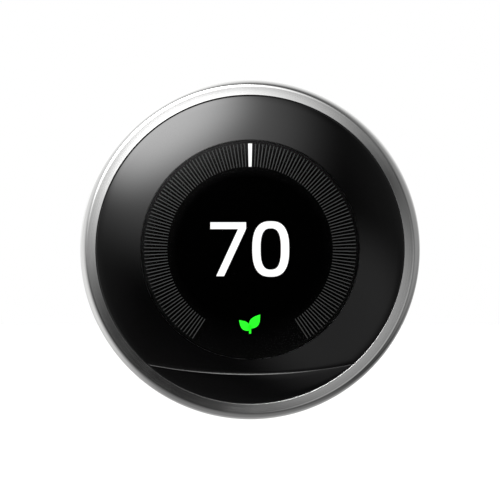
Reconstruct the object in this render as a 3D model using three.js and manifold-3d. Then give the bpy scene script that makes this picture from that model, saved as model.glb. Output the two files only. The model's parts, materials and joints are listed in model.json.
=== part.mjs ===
// A round wall thermostat: a base that screws to the wall and takes the wires, and a head that plugs
// onto it. The head holds a round display under a domed lens. Its steel ring turns to set the
// temperature, and its whole front presses in against a flat spring to select. Ten sprung tabs on the
// base release the wires.
//
// Every piece is modelled in the face frame: x to the right and y up as the wall is seen from the room,
// z out from the wall, in millimetres. The last lines turn that frame so that +Z is up and the
// thermostat faces -Y, with the origin at the middle of its back, on the wall.

import * as THREE from "three";
import { mergeVertices } from "three/addons/utils/BufferGeometryUtils.js";
import Module from "manifold-3d";

const wasm = await Module();
wasm.setup();

// ---------------------------------------------------------------- driving dimensions

const RING_R = 42; // control ring, outside
const DEPTH = 30.8; // wall to the top of the dome
const LENS_R = 37.9;
const DISPLAY_R = 27; // the round display that is seen through the lens
const BASE_R = 36;
const GAP = 0.3; // between pieces that touch or run on each other

const TERMINALS_A_SIDE = 5;
const TERMINAL_PITCH = 6;

const LARGE = 60; // segments of a large round
const SMALL = 12; // segments of a screw, post or hole

// Depths of the main faces, out from the wall, at rest. They leave room for the front to go in by 0.8
// and for each tab to go in by 1.5.
const BASE_FLOOR = { back: 0.8, front: 2.4 };
const BASE_RIM = 7.0;
const BASE_BOARD = { back: 3.2, front: 4.4 };
const BASE_COVER = { back: 7.6, front: 9.0 };
const BLOCK = { back: BASE_BOARD.front + GAP, front: 10.8 };
const TAB_BOTTOM = 8.0;
const TAB_TOP = 12.0;
const CAP_FLOOR = { back: 12.6, front: 13.8 };
const CAP_SKIRT = { back: 4.3, front: 18.5 };
const CONNECTOR_BOARD = { back: 17.3, front: 18.1 };
const SPRING = { back: 18.9, front: 19.3 };
const FRAME_PLATE = { back: 19.7, front: 20.7 };
const MAIN_BOARD = { back: 22.0, front: 23.0 };
const CARRIER = { back: 25.3, front: 26.2 };
const LENS_SEAT = 27.2; // underside of the lens, outside the display
const DISPLAY_FRONT = 27.9;

// Places of repeated pieces, as [x, y] or as angles in degrees, anticlockwise from +x.
const WALL_SCREWS = [[0, 28], [0, -28]];
const BASE_SCREWS = { radius: 31, angles: [45, 135, 225, 315] };
const SPRING_SCREWS = { radius: 29, angles: [30, 150, 210, 330] };
const BOARD_POSTS = { radius: 32.5, angles: [60, 180, 300] };
const BLOCK_X = 21; // middle of a terminal's tab, on either side
const CONNECTOR_Y = -20.2;
const USB_PLACE = [-21, CONNECTOR_Y];
const HUMIDITY_PLACE = [-15.2, 20.4];
const VIAL_Y = 19.7;

// ---------------------------------------------------------------- materials

const finish = (color, roughness, metalness = 0) =>
  new THREE.MeshStandardMaterial({ color, roughness, metalness });

const STEEL = finish(0xb9babb, 0.3, 1);
const SPRING_STEEL = finish(0x9a9c9e, 0.35, 1);
const ZINC = finish(0xa5a6a0, 0.4, 1);
const TINPLATE = finish(0xb4b6b8, 0.35, 1);
const BLACK_GLASS = finish(0x0b0c0c, 0.08);
const SMOKED_WINDOW = finish(0x0a0a0b, 0.12);
const SCREEN = finish(0x020202, 0.25);
const DARK_PLASTIC = finish(0x1d1e20, 0.55);
const FRAME_PLASTIC = finish(0x2a2b2d, 0.6);
const BASE_PLASTIC = finish(0xd9d9d6, 0.5);
const GREY_PLASTIC = finish(0x8d9092, 0.5);
const TAB_PLASTIC = finish(0xc9ccce, 0.45);
const SOLDER_MASK = finish(0x12402a, 0.45);
const BLACK_MASK = finish(0x101412, 0.45);
const CHIP = finish(0x141414, 0.5);
const FOIL = finish(0x8f9498, 0.45);
const ACETAL = finish(0xe6e4dc, 0.4);
const FOAM = finish(0x111111, 0.9);
const AMBER_FILM = finish(0xa86a24, 0.4);
const GREEN_GLASS = finish(0xb7d64b, 0.1);
const OPAL = finish(0xf2f3f0, 0.5);

// ---------------------------------------------------------------- solids

const rad = (degrees) => (degrees * Math.PI) / 180;

// Places at one radius, one for each angle.
const around = ({ radius, angles }) =>
  angles.map((a) => [radius * Math.cos(rad(a)), radius * Math.sin(rad(a))]);

// A closed three.js geometry as a manifold-3d solid, whichever way round its faces run.
function toSolid(geometry) {
  const bare = geometry.index ? geometry.toNonIndexed() : geometry;
  bare.deleteAttribute("normal");
  bare.deleteAttribute("uv");
  const merged = mergeVertices(bare, 1e-4);
  const corners = Array.from(merged.index.array);
  const triangles = [];
  for (let i = 0; i < corners.length; i += 3) {
    const [a, b, c] = corners.slice(i, i + 3);
    if (a !== b && b !== c && c !== a) {
      triangles.push([a, b, c]);
    }
  }
  const build = (faces) =>
    new wasm.Manifold(
      new wasm.Mesh({
        numProp: 3,
        vertProperties: merged.attributes.position.array,
        triVerts: new Uint32Array(faces.flat()),
      }),
    );
  const made = build(triangles);
  return made.volume() > 0 ? made : build(triangles.map(([a, b, c]) => [a, c, b]));
}

function toGeometry(solid) {
  const mesh = solid.getMesh();
  const geometry = new THREE.BufferGeometry();
  geometry.setAttribute("position", new THREE.BufferAttribute(mesh.vertProperties, 3));
  geometry.setIndex(new THREE.BufferAttribute(mesh.triVerts, 1));
  geometry.computeVertexNormals();
  return geometry;
}

const join = (first, ...rest) => rest.reduce((sum, solid) => sum.add(solid), first);
const cut = (first, ...rest) => rest.reduce((left, solid) => left.subtract(solid), first);

// A closed outline of [radius, depth] points turned about the z axis.
function revolve(outline, segments = LARGE) {
  const points = [...outline, outline[0]].map(([r, z]) => new THREE.Vector2(r, z));
  return toSolid(new THREE.LatheGeometry(points, segments).rotateX(Math.PI / 2));
}

// A ring of rectangular section, or a disc where inner is 0.
const hoop = (inner, outer, back, front, segments = LARGE) =>
  revolve([[inner, back], [outer, back], [outer, front], [inner, front]], segments);

const disc = (radius, back, front) => hoop(0, radius, back, front);

// A round bar along z.
const rod = (radius, back, front, [x, y] = [0, 0], segments = SMALL) =>
  hoop(0, radius, back, front, segments).translate([x, y, 0]);

// A shape drawn in x and y, from one depth to another.
function prism(shape, back, front, curveSegments = 6) {
  const geometry = new THREE.ExtrudeGeometry(shape, {
    depth: front - back,
    bevelEnabled: false,
    curveSegments,
  });
  return toSolid(geometry.translate(0, 0, back));
}

function roundedRectangle(width, height, corner) {
  const [w, h] = [width / 2, height / 2];
  const shape = new THREE.Shape();
  shape.absarc(w - corner, h - corner, corner, 0, rad(90));
  shape.absarc(corner - w, h - corner, corner, rad(90), rad(180));
  shape.absarc(corner - w, corner - h, corner, rad(180), rad(270));
  shape.absarc(w - corner, corner - h, corner, rad(270), rad(360));
  return shape;
}

// A plate or block with rounded corners, its middle at [x, y].
const slab = (width, height, corner, back, front, [x, y] = [0, 0]) =>
  prism(roundedRectangle(width, height, corner), back, front, 1).translate([x, y, 0]);

// A sector of a ring, between two angles in degrees.
function sector(inner, outer, from, to, back, front) {
  const shape = new THREE.Shape();
  shape.absarc(0, 0, outer, rad(from), rad(to));
  shape.absarc(0, 0, inner, rad(to), rad(from), true);
  return prism(shape, back, front, 14);
}

// An outline of [first, z] points extruded to both sides of the plane it is drawn in.
function sideProfile(points, thickness) {
  const shape = new THREE.Shape(points.map(([u, z]) => new THREE.Vector2(u, z)));
  const geometry = new THREE.ExtrudeGeometry(shape, { depth: thickness, bevelEnabled: false });
  return toSolid(geometry.translate(0, 0, -thickness / 2).rotateX(Math.PI / 2));
}

// A thin strip folded back on itself in the plane of z and y, with its round end towards -y.
function foldedStrip(width, thickness, back, front, reach, openReach) {
  const outer = (front - back) / 2;
  const middle = (front + back) / 2;
  const shape = new THREE.Shape();
  shape.moveTo(reach, back);
  shape.absarc(0, middle, outer, rad(270), rad(90), true);
  shape.lineTo(openReach, front);
  shape.lineTo(openReach, front - thickness);
  shape.absarc(0, middle, outer - thickness, rad(90), rad(270));
  shape.lineTo(reach, back + thickness);
  const geometry = new THREE.ExtrudeGeometry(shape, {
    depth: width,
    bevelEnabled: false,
    curveSegments: 4,
  });
  geometry.translate(0, 0, -width / 2).rotateX(Math.PI / 2).rotateZ(Math.PI / 2);
  return toSolid(geometry);
}

// ---------------------------------------------------------------- base, fixed to the wall

const backPosts = around(BASE_SCREWS);

// The opening in the cover for both terminal blocks and the well between them.
const BLOCK_AREA = { halfHeight: 15.5, outerX: 26, trimR: 28.5, innerX: 13 };

function blockArea(clearance, back, front) {
  const { halfHeight, outerX, trimR } = BLOCK_AREA;
  const box = slab(2 * (outerX + clearance), 2 * (halfHeight + clearance), 1, back, front);
  return box.intersect(disc(trimR + clearance, back, front));
}

function baseRearShell() {
  const wireHoleR = 10;
  const shell = revolve([
    [wireHoleR, BASE_FLOOR.back],
    [24, BASE_FLOOR.back],
    [24.8, 0],
    [BASE_R - 0.6, 0],
    [BASE_R, 0.6],
    [BASE_R, BASE_RIM],
    [BASE_R - 1.6, BASE_RIM],
    [BASE_R - 1.6, BASE_FLOOR.front],
    [wireHoleR, BASE_FLOOR.front],
  ]);
  const [upper, lower] = WALL_SCREWS;
  const bosses = [
    slab(13, 8.8, 4.3, BASE_FLOOR.back, BASE_RIM, upper),
    rod(4.4, BASE_FLOOR.back, BASE_RIM, lower, 20),
  ];
  const screwHoles = backPosts.flatMap((at) => [
    rod(2.3, -1, 1.7, at),
    rod(1.3, 1, BASE_BOARD.back, at),
  ]);
  const stiffeners = [20, 55, 90, 125, 160, 200, 235, 270, 305, 340].map((angle) =>
    slab(12.6, 0.9, 0.2, 0.25, BASE_FLOOR.back + 0.4, [18.2, 0]).rotate([0, 0, angle]),
  );
  // The upper hole is a slot, so that the base can be levelled before it is clamped.
  return cut(
    join(shell, ...bosses, ...stiffeners),
    slab(8.6, 4.6, 2.2, -1, BASE_RIM + 1, upper),
    rod(2.3, -1, BASE_RIM + 1, lower),
    ...screwHoles,
  );
}

function baseCircuitBoard() {
  const [upper, lower] = WALL_SCREWS;
  const { back, front } = BASE_BOARD;
  return cut(
    hoop(12.6, BASE_R - 2.2, back, front),
    slab(14, 9.8, 4.6, 0, 9, upper),
    rod(4.9, 0, 9, lower, 20),
    ...backPosts.map((at) => rod(3.0, 0, 9, at)),
  );
}

function baseFrontCover() {
  const spigotR = BASE_R - 1.6 - 0.4;
  const edgeR = BASE_R - GAP;
  const { back, front } = BASE_COVER;
  const plate = revolve([
    [12, back],
    [spigotR - 1.4, back],
    [spigotR - 1.4, 5.2],
    [spigotR, 5.2],
    [spigotR, BASE_RIM + GAP],
    [edgeR, BASE_RIM + GAP],
    [edgeR, front - 0.6],
    [edgeR - 0.6, front],
    [12, front],
  ]);
  const posts = backPosts.map((at) => rod(2.6, BASE_FLOOR.front + GAP, back + 0.4, at));
  const [upper, lower] = WALL_SCREWS;
  const ventSlots = [-2.2, 0, 2.2].map((dx) =>
    slab(0.9, 5, 0.4, 6, 12, [HUMIDITY_PLACE[0] + dx, HUMIDITY_PLACE[1]]),
  );
  return cut(
    join(plate, ...posts),
    blockArea(GAP, 6, 12),
    slab(14.4, 10.2, 4.8, 3, 12, upper),
    rod(4.8, 3, 12, lower, 20),
    slab(15.8, 5.2, 0.6, 6, 12, [0, VIAL_Y]),
    slab(16.6, 6.1, 0.6, 6, 12, [0, CONNECTOR_Y]),
    // Slots that guide the head's two latch arms.
    slab(2.2, 9.4, 0.6, 6, 12, [30.5, 0]),
    slab(2.2, 9.4, 0.6, 6, 12, [-30.5, 0]),
    ...backPosts.map((at) => rod(1.3, 2, back - 0.4, at)),
    ...ventSlots,
  );
}

const terminalRows = Array.from(
  { length: TERMINALS_A_SIDE },
  (_, i) => (i - (TERMINALS_A_SIDE - 1) / 2) * -TERMINAL_PITCH,
);

// The right-hand block. Each wire goes in through the slope that faces the well.
function terminalBlock() {
  const { back, front } = BLOCK;
  const { innerX } = BLOCK_AREA;
  const body = blockArea(0, back, front);
  const well = slab(2 * innerX, 60, 0.2, back - 1, front + 1);
  const leftSide = slab(60, 60, 1, back - 1, front + 1, [-30, 0]);
  const slope = sideProfile([[innerX - 1, 6.8], [innerX, 6.8], [innerX + 4, front + 0.01],
    [innerX + 4, front + 1], [innerX - 1, front + 1]], 60);
  const slotFloor = back + 1.2;
  const cavities = terminalRows.flatMap((y) => [
    slab(6.4, 4.4, 0.1, slotFloor, front + 1, [BLOCK_X, y]),
    rod(1.15, -4, 3.4, [0, 0], 10).rotate([0, 116, 0]).translate([15.6, y, 8.5]),
  ]);
  const springChannel = slab(2, 28.4, 0.2, slotFloor, slotFloor + 1, [BLOCK_X + 2.2, 0]);
  return cut(body, leftSide, well, slope, springChannel, ...cavities);
}

// A strip of spring steel under the tabs. Its five bent fingers push the tabs back out.
function tabSpring() {
  const back = BLOCK.back + 1.2 + GAP;
  const thickness = 0.35;
  const spine = slab(1.3, 27.8, 0.2, back, back + thickness, [BLOCK_X + 2.2, 0]);
  const tip = [BLOCK_X - 1.6, TAB_BOTTOM - GAP];
  const fingers = terminalRows.map((y) =>
    sideProfile([
      [BLOCK_X + 1.6, back],
      [BLOCK_X + 2.2, back],
      [BLOCK_X + 2.2, back + thickness],
      [BLOCK_X + 1.7, back + thickness],
      [tip[0] + 0.5, tip[1]],
      [tip[0], tip[1]],
      [tip[0], tip[1] - thickness],
      [tip[0] + 0.4, tip[1] - thickness],
    ], 3).translate([0, y, 0]),
  );
  return join(spine, ...fingers);
}

// A release tab, drawn about its own middle, with a fingernail step in its top.
function terminalTab() {
  const half = 2.9;
  return sideProfile([
    [-half, TAB_BOTTOM + 0.8],
    [-half + 0.9, TAB_BOTTOM],
    [half - 0.9, TAB_BOTTOM],
    [half, TAB_BOTTOM + 0.8],
    [half, TAB_TOP - 0.5],
    [half - 0.5, TAB_TOP],
    [0.4, TAB_TOP],
    [-0.2, TAB_TOP - 0.6],
    [-half + 0.4, TAB_TOP - 0.6],
    [-half, TAB_TOP - 1],
  ], 3.8);
}

// A pan-head screw with a slot, drawn pointing along +z from its head.
function screw(headR, headHeight, length) {
  const shaftR = headR * 0.52;
  const blank = revolve([
    [0, 0],
    [headR - 0.3, 0],
    [headR, 0.3],
    [headR, headHeight],
    [shaftR, headHeight],
    [shaftR, length - 0.6],
    [0, length],
  ], SMALL);
  return cut(blank, slab(headR * 3, 0.4, 0.1, -1, headHeight * 0.45));
}

const vialRadius = 2.2;

function levelVial() {
  const halfLength = 7.4;
  const domed = 0.8;
  return revolve([
    [0, -halfLength],
    [vialRadius - domed, -halfLength],
    [vialRadius, -halfLength + domed],
    [vialRadius, halfLength - domed],
    [vialRadius - domed, halfLength],
    [0, halfLength],
  ], 16).rotate([0, 90, 0]);
}

const VIAL_DEPTH = 7.6;

function levelCradle() {
  const trough = rod(vialRadius + GAP, -12, 12, [0, 0], 16).rotate([0, 90, 0]);
  return cut(
    slab(17, 6.2, 0.6, BASE_BOARD.front + GAP, BASE_COVER.back - GAP, [0, VIAL_Y]),
    trough.translate([0, VIAL_Y, VIAL_DEPTH]),
  );
}

function baseConnector() {
  const front = 10.6;
  return cut(
    slab(16, 5.5, 0.5, BASE_BOARD.front + GAP, front),
    slab(13.4, 2.8, 0.3, 6.5, front + 1),
  );
}

// ---------------------------------------------------------------- head, plugged onto the base

const springScrews = around(SPRING_SCREWS);

function headRearCap() {
  const skirtR = 38.4;
  const { back, front } = CAP_FLOOR;
  const cup = revolve([
    [0, back],
    [BASE_R + 0.9, back],
    [BASE_R + 0.9, CAP_SKIRT.back + 0.6],
    [BASE_R + 1.3, CAP_SKIRT.back],
    [skirtR - 0.6, CAP_SKIRT.back],
    [skirtR, CAP_SKIRT.back + 0.6],
    [skirtR, CAP_SKIRT.front],
    [skirtR - 1.2, CAP_SKIRT.front],
    [skirtR - 1.2, front],
    [0, front],
  ]);
  const post = join(
    rod(5, front - 0.4, SPRING.back - GAP, [0, 0], 20),
    rod(2.5, front, SPRING.front - 0.2),
    rod(0.7, front, SPRING.front + 0.5, [4.2, 0], 8),
    rod(0.7, front, SPRING.front + 0.5, [-4.2, 0], 8),
  );
  const latchArms = [30.5, -30.5].map((x) => slab(1.2, 8, 0.4, 6.4, back + 0.4, [x, 0]));
  const raisedPanel = slab(44, 14, 5, back - 0.5, back + 0.4, [0, 22]);
  return cut(
    join(cup, post, ...latchArms, raisedPanel),
    slab(15.2, 4.8, 0.6, 10, 16, [0, CONNECTOR_Y]),
    slab(8.4, 3.4, 0.8, 10, 16, USB_PLACE),
    // A shallow recess for a label.
    slab(34, 15, 2, back - 1, back + 0.25, [0, -3]),
  );
}

// The plug that stands out of the head's floor and into the base's socket.
function headConnector() {
  return join(
    slab(12.6, 2.0, 0.2, 7.2, 12),
    slab(14.6, 4.2, 0.5, 11.0, CONNECTOR_BOARD.back - GAP),
  );
}

function usbPort() {
  return cut(
    slab(7.8, 2.8, 0.6, CAP_FLOOR.back + 0.2, CONNECTOR_BOARD.back - GAP),
    slab(6.9, 1.9, 0.4, 0, CONNECTOR_BOARD.back - 1),
  );
}

function pressSpring() {
  const { back, front } = SPRING;
  const { radius } = SPRING_SCREWS;
  const arms = SPRING_SCREWS.angles.map((angle) =>
    slab(radius, 5, 0.4, back, front, [radius / 2, 0]).rotate([0, 0, angle]),
  );
  const pads = springScrews.map((at) => rod(3.6, back, front, at));
  const stakeHoles = [4.2, -4.2].map((x) => rod(1.0, 0, 30, [x, 0], 8));
  return cut(
    join(rod(7.6, back, front, [0, 0], 20), ...arms, ...pads),
    rod(2.9, 0, 30),
    ...stakeHoles,
    ...springScrews.map((at) => rod(1.3, 0, 30, at)),
  );
}

// ---------------------------------------------------------------- front, pressed in by the hand

const boardPosts = around(BOARD_POSTS);

function frontFrame() {
  const wallR = 38.1;
  const { back, front } = FRAME_PLATE;
  const cup = revolve([
    [9, back],
    [39.2, back],
    [39.2, front],
    [wallR, front],
    [wallR, 24.4],
    [wallR - 1.4, 24.4],
    [wallR - 1.4, front],
    [9, front],
  ]);
  const posts = [...springScrews, ...boardPosts].map((at) =>
    rod(2.3, front - 0.4, MAIN_BOARD.back - GAP, at),
  );
  // Stakes that hold the main board down.
  const stakes = boardPosts.map((at) => rod(0.9, front, MAIN_BOARD.front + 0.6, at));
  return cut(
    join(cup, ...posts, ...stakes),
    ...springScrews.map((at) => rod(1.3, 0, 30, at)),
    slab(16, 9, 1, 19, 21.2, [0, -24]),
    slab(7, 5, 1, 19, 21.2, [-11, 5.5]),
    // The window that the ring sensor looks out of.
    slab(6, 7, 0.4, 21.6, 26, [37.5, 0]),
  );
}

function mainBoard() {
  const { back, front } = MAIN_BOARD;
  return cut(
    disc(36.2, back, front),
    ...boardPosts.map((at) => rod(1.2, 0, 30, at)),
  );
}

// A pressed tin cover over chips, standing on the front of the main board.
const shield = (width, height) => slab(width, height, 1, MAIN_BOARD.front + GAP, 24.9);

function displayTray() {
  const { back } = CARRIER;
  const rimR = DISPLAY_R + GAP;
  return revolve([
    [0, back],
    [rimR + 0.6, back],
    [rimR + 0.6, 27.0],
    [rimR, 27.0],
    [rimR, back + 0.4],
    [0, back + 0.4],
  ]);
}

function lensCarrier() {
  const { back, front } = CARRIER;
  const ring = revolve([
    [28.3, back],
    [36.7, back],
    [36.7, 24.7],
    [39.7, 24.7],
    [39.7, 25.2],
    [37.8, 25.2],
    [37.8, front],
    [28.3, front],
  ]);
  return cut(ring, slab(30, 5.6, 1, 24, 28, [0, -33]));
}

// The whole dome, before it is divided into the lens and the sensor window.
function dome() {
  const rise = 2.9;
  const power = 2.6;
  const steps = 7;
  const top = Array.from({ length: steps + 1 }, (_, i) => {
    const r = LENS_R * (1 - i / steps);
    return [r, DEPTH - rise * (r / LENS_R) ** power];
  });
  const recessR = DISPLAY_R + 1.6;
  return revolve([
    ...top,
    [0, DISPLAY_FRONT + GAP],
    [recessR, DISPLAY_FRONT + GAP],
    [recessR, LENS_SEAT],
    [LENS_R, LENS_SEAT],
  ]);
}

// The seam between the lens and the sensor window is an arc that sags below its ends.
const SEAM = { radius: 138, lowest: -30.45, segments: 96 };

function aboveSeam(offset) {
  const centre = [0, SEAM.lowest + SEAM.radius];
  return rod(SEAM.radius + offset, 20, 40, centre, SEAM.segments);
}

function bulletSensor(radius, height) {
  const back = MAIN_BOARD.front + GAP;
  return join(rod(radius, back, back + height), rod(radius + 0.5, back, back + 0.4));
}

// ---------------------------------------------------------------- control ring

function controlRing() {
  const shoulder = 1.9;
  const faceEnd = RING_R - shoulder;
  const sideTop = 27.6 - shoulder;
  const arc = [20, 45, 70].map((a) => [
    faceEnd + shoulder * Math.sin(rad(a)),
    sideTop + shoulder * Math.cos(rad(a)),
  ]);
  return revolve([
    [38.2, 26.4],
    [38.2, 27.45],
    [38.45, 27.72],
    [faceEnd, 27.6],
    ...arc,
    [RING_R, sideTop],
    [RING_R, 20],
    [RING_R - 0.7, 9.4],
    [RING_R - 1.4, 8.6],
    [39.7, 8.6],
    [39.3, 9.0],
    [39.3, 17.6],
    [38.8, 17.9],
    [38.8, 19.2],
    [40.1, 19.2],
    [40.1, 26.4],
  ]);
}

// ---------------------------------------------------------------- assembly

const thermostat = new THREE.Group();

function place(name, solid, material, [x, y, z] = [0, 0, 0], parent = thermostat) {
  const mesh = new THREE.Mesh(toGeometry(solid), material);
  mesh.name = name;
  mesh.position.set(x, y, z);
  parent.add(mesh);
  return mesh;
}

// Base.
place("base_rear_shell", baseRearShell(), BASE_PLASTIC);
place("base_circuit_board", baseCircuitBoard(), SOLDER_MASK);
place("base_front_cover", baseFrontCover(), BASE_PLASTIC);
place("level_vial", levelVial(), GREEN_GLASS, [0, VIAL_Y, VIAL_DEPTH]);
place("level_cradle", levelCradle(), GREY_PLASTIC);
place("base_connector", baseConnector(), DARK_PLASTIC, [0, CONNECTOR_Y, 0]);
place("humidity_sensor", slab(3, 3, 0.2, BLOCK.back, BLOCK.back + 1), OPAL, [...HUMIDITY_PLACE, 0]);
backPosts.forEach(([x, y], i) => {
  place(`base_screw_${i + 1}`, screw(1.9, 0.95, 6.1), ZINC, [x, y, 0.45]);
});

// The two terminal blocks are one shape, turned half round for the left.
for (const [side, turn] of [["left", Math.PI], ["right", 0]]) {
  const block = new THREE.Group();
  block.rotation.z = turn;
  thermostat.add(block);
  place(`terminal_block_${side}`, terminalBlock(), GREY_PLASTIC, [0, 0, 0], block);
  place(`tab_spring_${side}`, tabSpring(), SPRING_STEEL, [0, 0, 0], block);
  terminalRows.forEach((y, i) => {
    const number = turn ? TERMINALS_A_SIDE - i : i + 1;
    place(`terminal_tab_${side}_${number}`, terminalTab(), TAB_PLASTIC, [BLOCK_X, y, 0], block);
  });
}

// Head.
place("head_rear_cap", headRearCap(), DARK_PLASTIC);
place("head_connector", headConnector(), DARK_PLASTIC, [0, CONNECTOR_Y, 0]);
place(
  "connector_board",
  slab(35, 8, 0.6, CONNECTOR_BOARD.back, CONNECTOR_BOARD.front),
  BLACK_MASK,
  [-8, CONNECTOR_Y - 0.7, 0],
);
place("usb_port", usbPort(), TINPLATE, [...USB_PLACE, 0]);
place("battery", slab(40, 20, 2, CAP_FLOOR.front + GAP, 18.2), FOIL, [0, 18.5, 0]);
place("press_spring", pressSpring(), SPRING_STEEL);

// Front.
place("front_frame", frontFrame(), FRAME_PLASTIC);
springScrews.forEach(([x, y], i) => {
  place(`spring_screw_${i + 1}`, screw(1.9, 1.1, 4), ZINC, [x, y, 17.5]);
});
place("main_board", mainBoard(), BLACK_MASK);
place("processor_shield", shield(22, 17), TINPLATE, [3, 9, 0]);
place("radio_shield", shield(17, 12), TINPLATE, [-9, -7.5, 0]);
place("buzzer", rod(5.5, MAIN_BOARD.front + GAP, 24.9, [0, 0], 20), CHIP, [-21, 13, 0]);
place("ring_sensor", slab(4, 5.4, 0.3, MAIN_BOARD.front + GAP, 24.8), CHIP, [34, 0, 0]);
place("tact_switch", slab(5.2, 5.2, 0.4, 20.9, MAIN_BOARD.back - GAP), CHIP);
place("switch_plunger", rod(1.5, SPRING.front + 0.45, 20.35), ACETAL);
place("display_tray", displayTray(), TINPLATE);
place("backlight_panel", disc(DISPLAY_R, 26.0, 26.6), OPAL);
place("display_panel", disc(DISPLAY_R, 26.9, DISPLAY_FRONT), SCREEN);
place("display_flex", foldedStrip(12, 0.2, 23.3, 25.0, 6, 3), AMBER_FILM, [0, -21, 0]);
place("connector_flex", foldedStrip(10, 0.2, 18.4, 21.7, 4, 6), AMBER_FILM, [0, -24, 0]);
place("lens_carrier", lensCarrier(), FRAME_PLASTIC);
place("lens_gasket", sector(30.5, 36.5, -50, 230, 26.5, 26.9), FOAM);
place("front_lens", dome().intersect(aboveSeam(-GAP / 2)), BLACK_GLASS);
place("sensor_window", dome().subtract(aboveSeam(GAP / 2)), SMOKED_WINDOW);
place("motion_sensor_lens", sector(32.2, 36.6, 244, 296, 26.5, 26.9), OPAL);
place("motion_sensor", bulletSensor(2.3, 2.4), TINPLATE, [0, -32.8, 0]);
place("proximity_sensor", slab(3.4, 2, 0.2, MAIN_BOARD.front + GAP, 24.6), CHIP, [-9.5, -32.4, 0]);
place("light_sensor", slab(2, 2, 0.2, MAIN_BOARD.front + GAP, 24.2), CHIP, [9.5, -32.4, 0]);

// Ring.
place("glide_ring", hoop(38.4, 39.7, 25.5, 26.1), ACETAL);
place("control_ring", controlRing(), STEEL);
place("encoder_band", hoop(39.55, 39.8, 21.2, 24.4), OPAL);

// Stand the face upright: x stays, y becomes +Z and the way out from the wall becomes -Y.
thermostat.rotation.x = Math.PI / 2;

export default thermostat;
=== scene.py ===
# The looks of a round wall thermostat, built around its imported CAD model: the brushed steel
# ring, the domed black lens with the lit display under it, the moulded base and head, the
# springs cut up into arms and fingers, and plain studio light.
#
# Shapes are given in the face frame: x to the right and y up as seen from the room, z out
# from the wall, in millimetres. FACE_TO_WORLD turns them into the CAD frame, which is in
# metres and where the thermostat faces -Y.

import json
import math

import bmesh
import bpy
from mathutils import Matrix, Vector


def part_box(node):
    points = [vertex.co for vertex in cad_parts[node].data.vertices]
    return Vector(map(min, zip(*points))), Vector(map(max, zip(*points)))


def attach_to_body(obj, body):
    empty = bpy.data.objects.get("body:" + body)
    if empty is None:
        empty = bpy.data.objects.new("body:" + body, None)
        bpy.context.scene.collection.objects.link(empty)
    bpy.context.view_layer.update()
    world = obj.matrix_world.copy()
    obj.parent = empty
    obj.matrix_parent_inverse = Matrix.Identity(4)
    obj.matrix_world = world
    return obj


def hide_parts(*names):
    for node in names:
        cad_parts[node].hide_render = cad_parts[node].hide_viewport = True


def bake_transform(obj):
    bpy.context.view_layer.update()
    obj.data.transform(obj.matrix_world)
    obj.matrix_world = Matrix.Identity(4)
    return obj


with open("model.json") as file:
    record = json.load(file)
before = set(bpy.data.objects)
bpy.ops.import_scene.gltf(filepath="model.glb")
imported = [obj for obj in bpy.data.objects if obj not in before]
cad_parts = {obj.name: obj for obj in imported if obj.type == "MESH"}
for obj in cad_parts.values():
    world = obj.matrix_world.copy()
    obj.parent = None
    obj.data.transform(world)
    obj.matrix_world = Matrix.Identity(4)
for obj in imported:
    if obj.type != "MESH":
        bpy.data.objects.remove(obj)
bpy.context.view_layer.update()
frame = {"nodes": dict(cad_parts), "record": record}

# ------------------------------------------------------------------ sizes, in millimetres

MM = 0.001
FACE_TO_WORLD = Matrix.Scale(MM, 4) @ Matrix.Rotation(math.radians(90), 4, "X")

RING_RADIUS = 42.0
RING_FACE = 27.72  # how far the ring's flat face stands out from the wall
FACE_TILT = 0.07  # how far the face falls to the shoulder
RING_SHOULDER = 1.9  # radius of the rounding between the ring's face and its side
RING_HOLE = 38.08  # radius of the opening that holds the lens
RING_LIP = 0.08  # radius of the rounding beside the lens
LENS_RADIUS = 37.93
LENS_TOP = 30.8
LENS_DROP = 2.9  # from the middle of the dome to its edge
LENS_CURVE = 2.6  # power of the radius by which the dome falls
LENS_SEAT = 27.2  # the flat back of the lens
DISPLAY_RADIUS = 27.0  # of the clear middle of the lens
RECESS_RADIUS = 28.6  # of the hollow behind that middle
RECESS_TOP = 28.2
SCREEN_FRONT = 27.9
SEAM_RADIUS = 138.0  # of the arc between the lens and the window
SEAM_LOWEST = -30.45
SEAM_HALF_GAP = 0.06
EDGE = 0.22  # radius of the rounded edges of the lens and the window
SEAM_EDGE = 0.27  # the same, for the edge of the window along the seam
EDGE_TURNS = [math.radians(10 * i) for i in range(1, 10)]

SAME_POINT = 0.0005  # distance within which two corners of a flat piece are one
SAME_ANGLE = 0.01  # the same for two angles round the lens, in radians
ROUND = 256  # steps round a large circle
SMALL_ROUND = 48  # steps round a small tube
SMOOTH_UP_TO = 32  # degrees between two faces that are shaded as one
COPY_SMOOTH_UP_TO = 40  # the same, for copies of CAD meshes, which have coarser curves

# ------------------------------------------------------------------ building meshes


def finish_mesh(name, mesh, materials, smooth_up_to=SMOOTH_UP_TO):
    """Links a mesh as an object, smooth except along edges sharper than an angle in degrees."""
    for material in materials:
        mesh.materials.append(material)
    mesh.shade_smooth()
    mesh.set_sharp_from_angle(angle=math.radians(smooth_up_to))
    piece = bpy.data.objects.new(name, mesh)
    bpy.context.scene.collection.objects.link(piece)
    return piece


def mesh_from(bm, name):
    """The mesh of a finished bmesh, which is freed."""
    mesh = bpy.data.meshes.new(name)
    bm.to_mesh(mesh)
    bm.free()
    return mesh


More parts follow.
